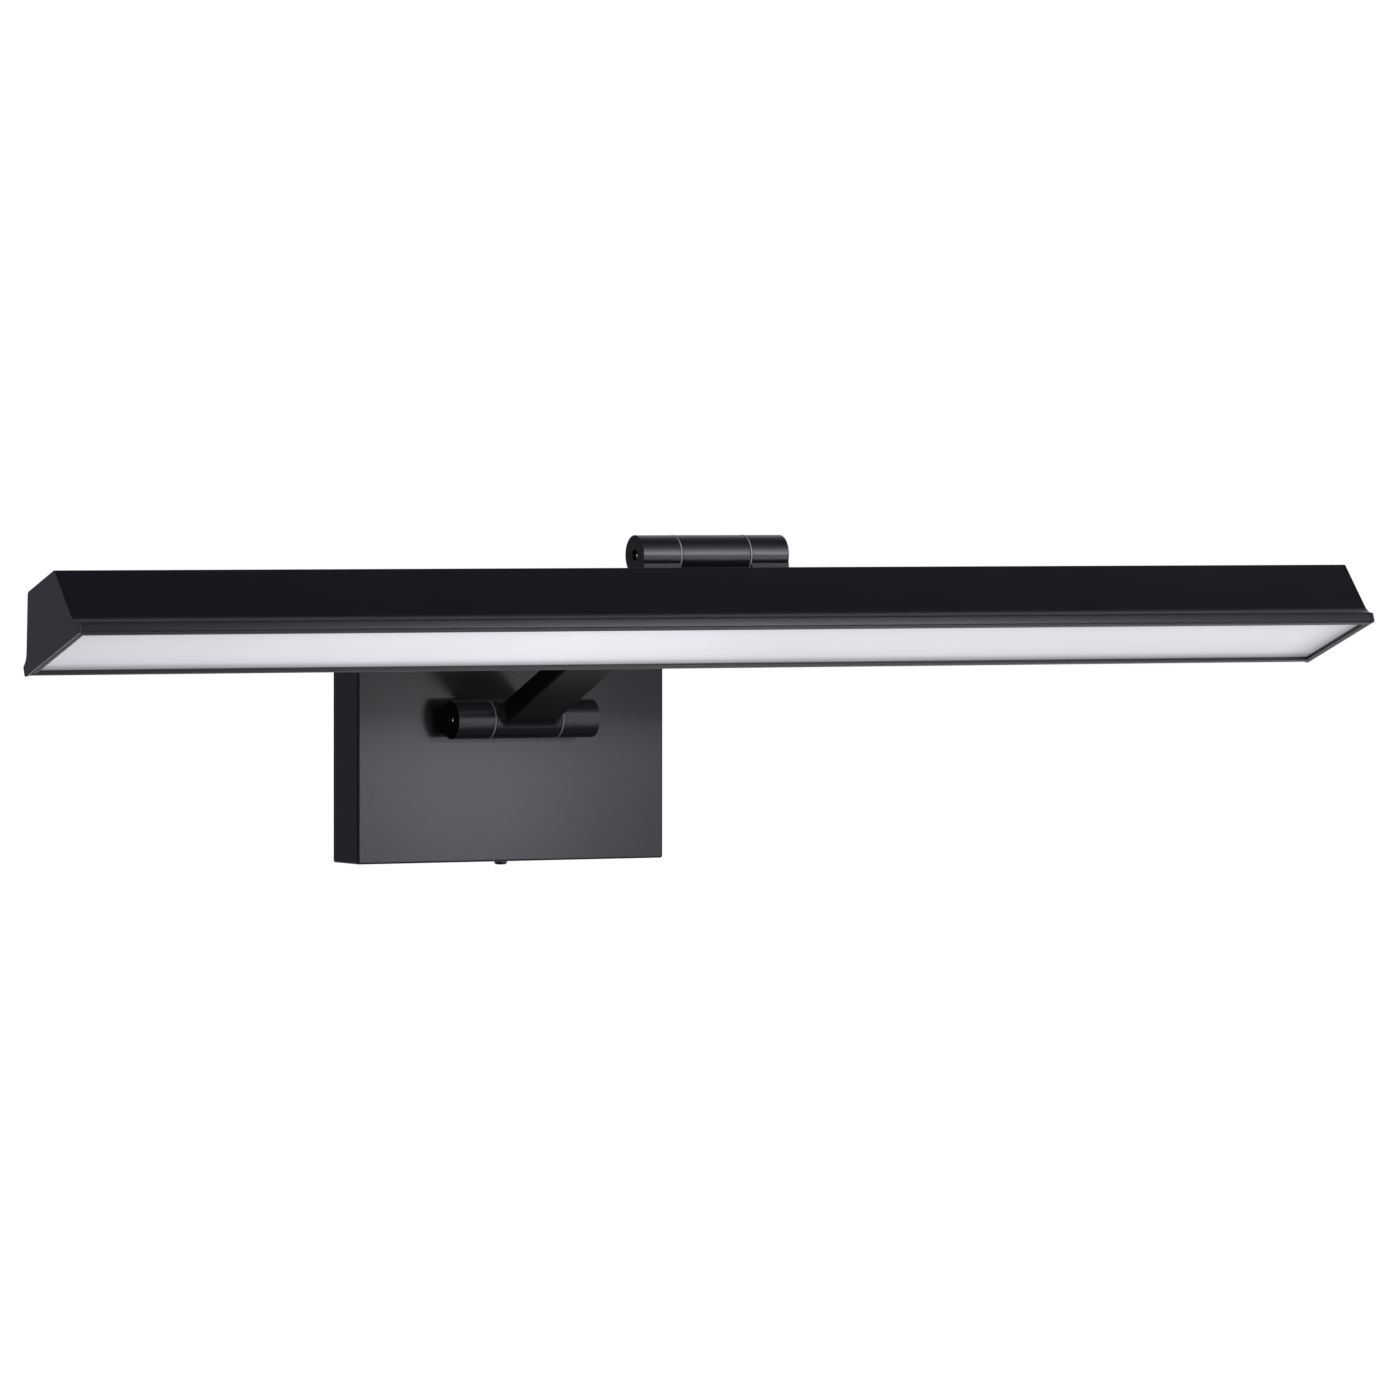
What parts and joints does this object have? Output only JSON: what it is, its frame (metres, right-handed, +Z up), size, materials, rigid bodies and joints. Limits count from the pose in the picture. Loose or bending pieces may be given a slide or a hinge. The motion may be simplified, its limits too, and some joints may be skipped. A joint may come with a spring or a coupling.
{
  "type": "picture light",
  "caption": "Wall-mounted LED picture light: a long black trapezoid lamp head with a recessed white diffuser, tilting on a flat hinged arm from a square canopy.",
  "frame": {"origin": "On the wall plane at the back of the mounting plate, level with the lower hinge axis, at the middle of the light's width.", "axes": "+X along the lamp head, +Y into the wall, +Z up. The light stands out from the wall towards -Y. Seen from the front, -X is on the left."},
  "size_m": [0.61, 0.2424, 0.1452],
  "materials": {
    "black_steel": "satin powder coat",
    "black_aluminium": "satin powder coat on aluminium",
    "zinc_steel": "bright zinc plating",
    "green_steel": "green plating",
    "brass": "turned",
    "pale_nylon": "matt",
    "opal_acrylic": "frosted",
    "white_tray": "white enamel on aluminium sheet",
    "led_board": "white solder mask on an aluminium core",
    "white_plastic": "moulded",
    "lead_sheath": "matt"
  },
  "bodies": {
    "wall_mount": {"mounting_plate": "zinc_steel", "canopy_cover": "black_steel", "cover_screw_top": "black_steel", "cover_screw_bottom": "black_steel", "earth_screw": "green_steel", "led_driver": "white_plastic", "driver_screw_left": "zinc_steel", "driver_screw_right": "zinc_steel", "terminal_block": "white_plastic", "mains_lead": "lead_sheath", "wall_lead": "lead_sheath", "lower_knuckle_left": "black_aluminium", "lower_knuckle_right": "black_aluminium", "lower_washer_left": "pale_nylon", "lower_washer_right": "pale_nylon", "lower_fixing_screw_1": "zinc_steel", "lower_fixing_screw_2": "zinc_steel", "lower_fixing_screw_3": "zinc_steel", "lower_fixing_screw_4": "zinc_steel", "lower_pivot_screw": "zinc_steel", "lower_plug_screw": "zinc_steel", "lower_pivot_tube": "brass"},
    "arm": {"arm": "black_aluminium", "lower_bush_left": "brass", "lower_bush_right": "brass", "upper_bush_left": "brass", "upper_bush_right": "brass", "arm_lead": "lead_sheath"},
    "head": {"head_housing": "black_aluminium", "end_plate_left": "black_aluminium", "end_plate_right": "black_aluminium", "bezel_front": "black_aluminium", "bezel_back": "black_aluminium", "bezel_end_left": "black_aluminium", "bezel_end_right": "black_aluminium", "diffuser": "opal_acrylic", "reflector_tray": "white_tray", "tray_screw_1": "zinc_steel", "tray_screw_2": "zinc_steel", "tray_screw_3": "zinc_steel", "tray_screw_4": "zinc_steel", "led_board": "led_board", "board_connector": "white_plastic", "head_lead": "lead_sheath", "upper_knuckle_left": "black_aluminium", "upper_knuckle_right": "black_aluminium", "upper_washer_left": "pale_nylon", "upper_washer_right": "pale_nylon", "upper_fixing_screw_1": "zinc_steel", "upper_fixing_screw_2": "zinc_steel", "upper_fixing_screw_3": "zinc_steel", "upper_fixing_screw_4": "zinc_steel", "upper_pivot_screw": "zinc_steel", "upper_plug_screw": "zinc_steel", "upper_pivot_tube": "brass"}
  },
  "joints": [
    {"name": "lower_hinge", "type": "hinge", "parent": "wall_mount", "child": "arm", "pos_m": [0, -0.0327, 0], "axis": [-1, 0, 0], "range_deg": [-80, 60]},
    {"name": "upper_hinge", "type": "hinge", "parent": "arm", "child": "head", "pos_m": [0, -0.20212, 0.07279], "axis": [-1, 0, 0], "range_deg": [-15, 90]}
  ]
}
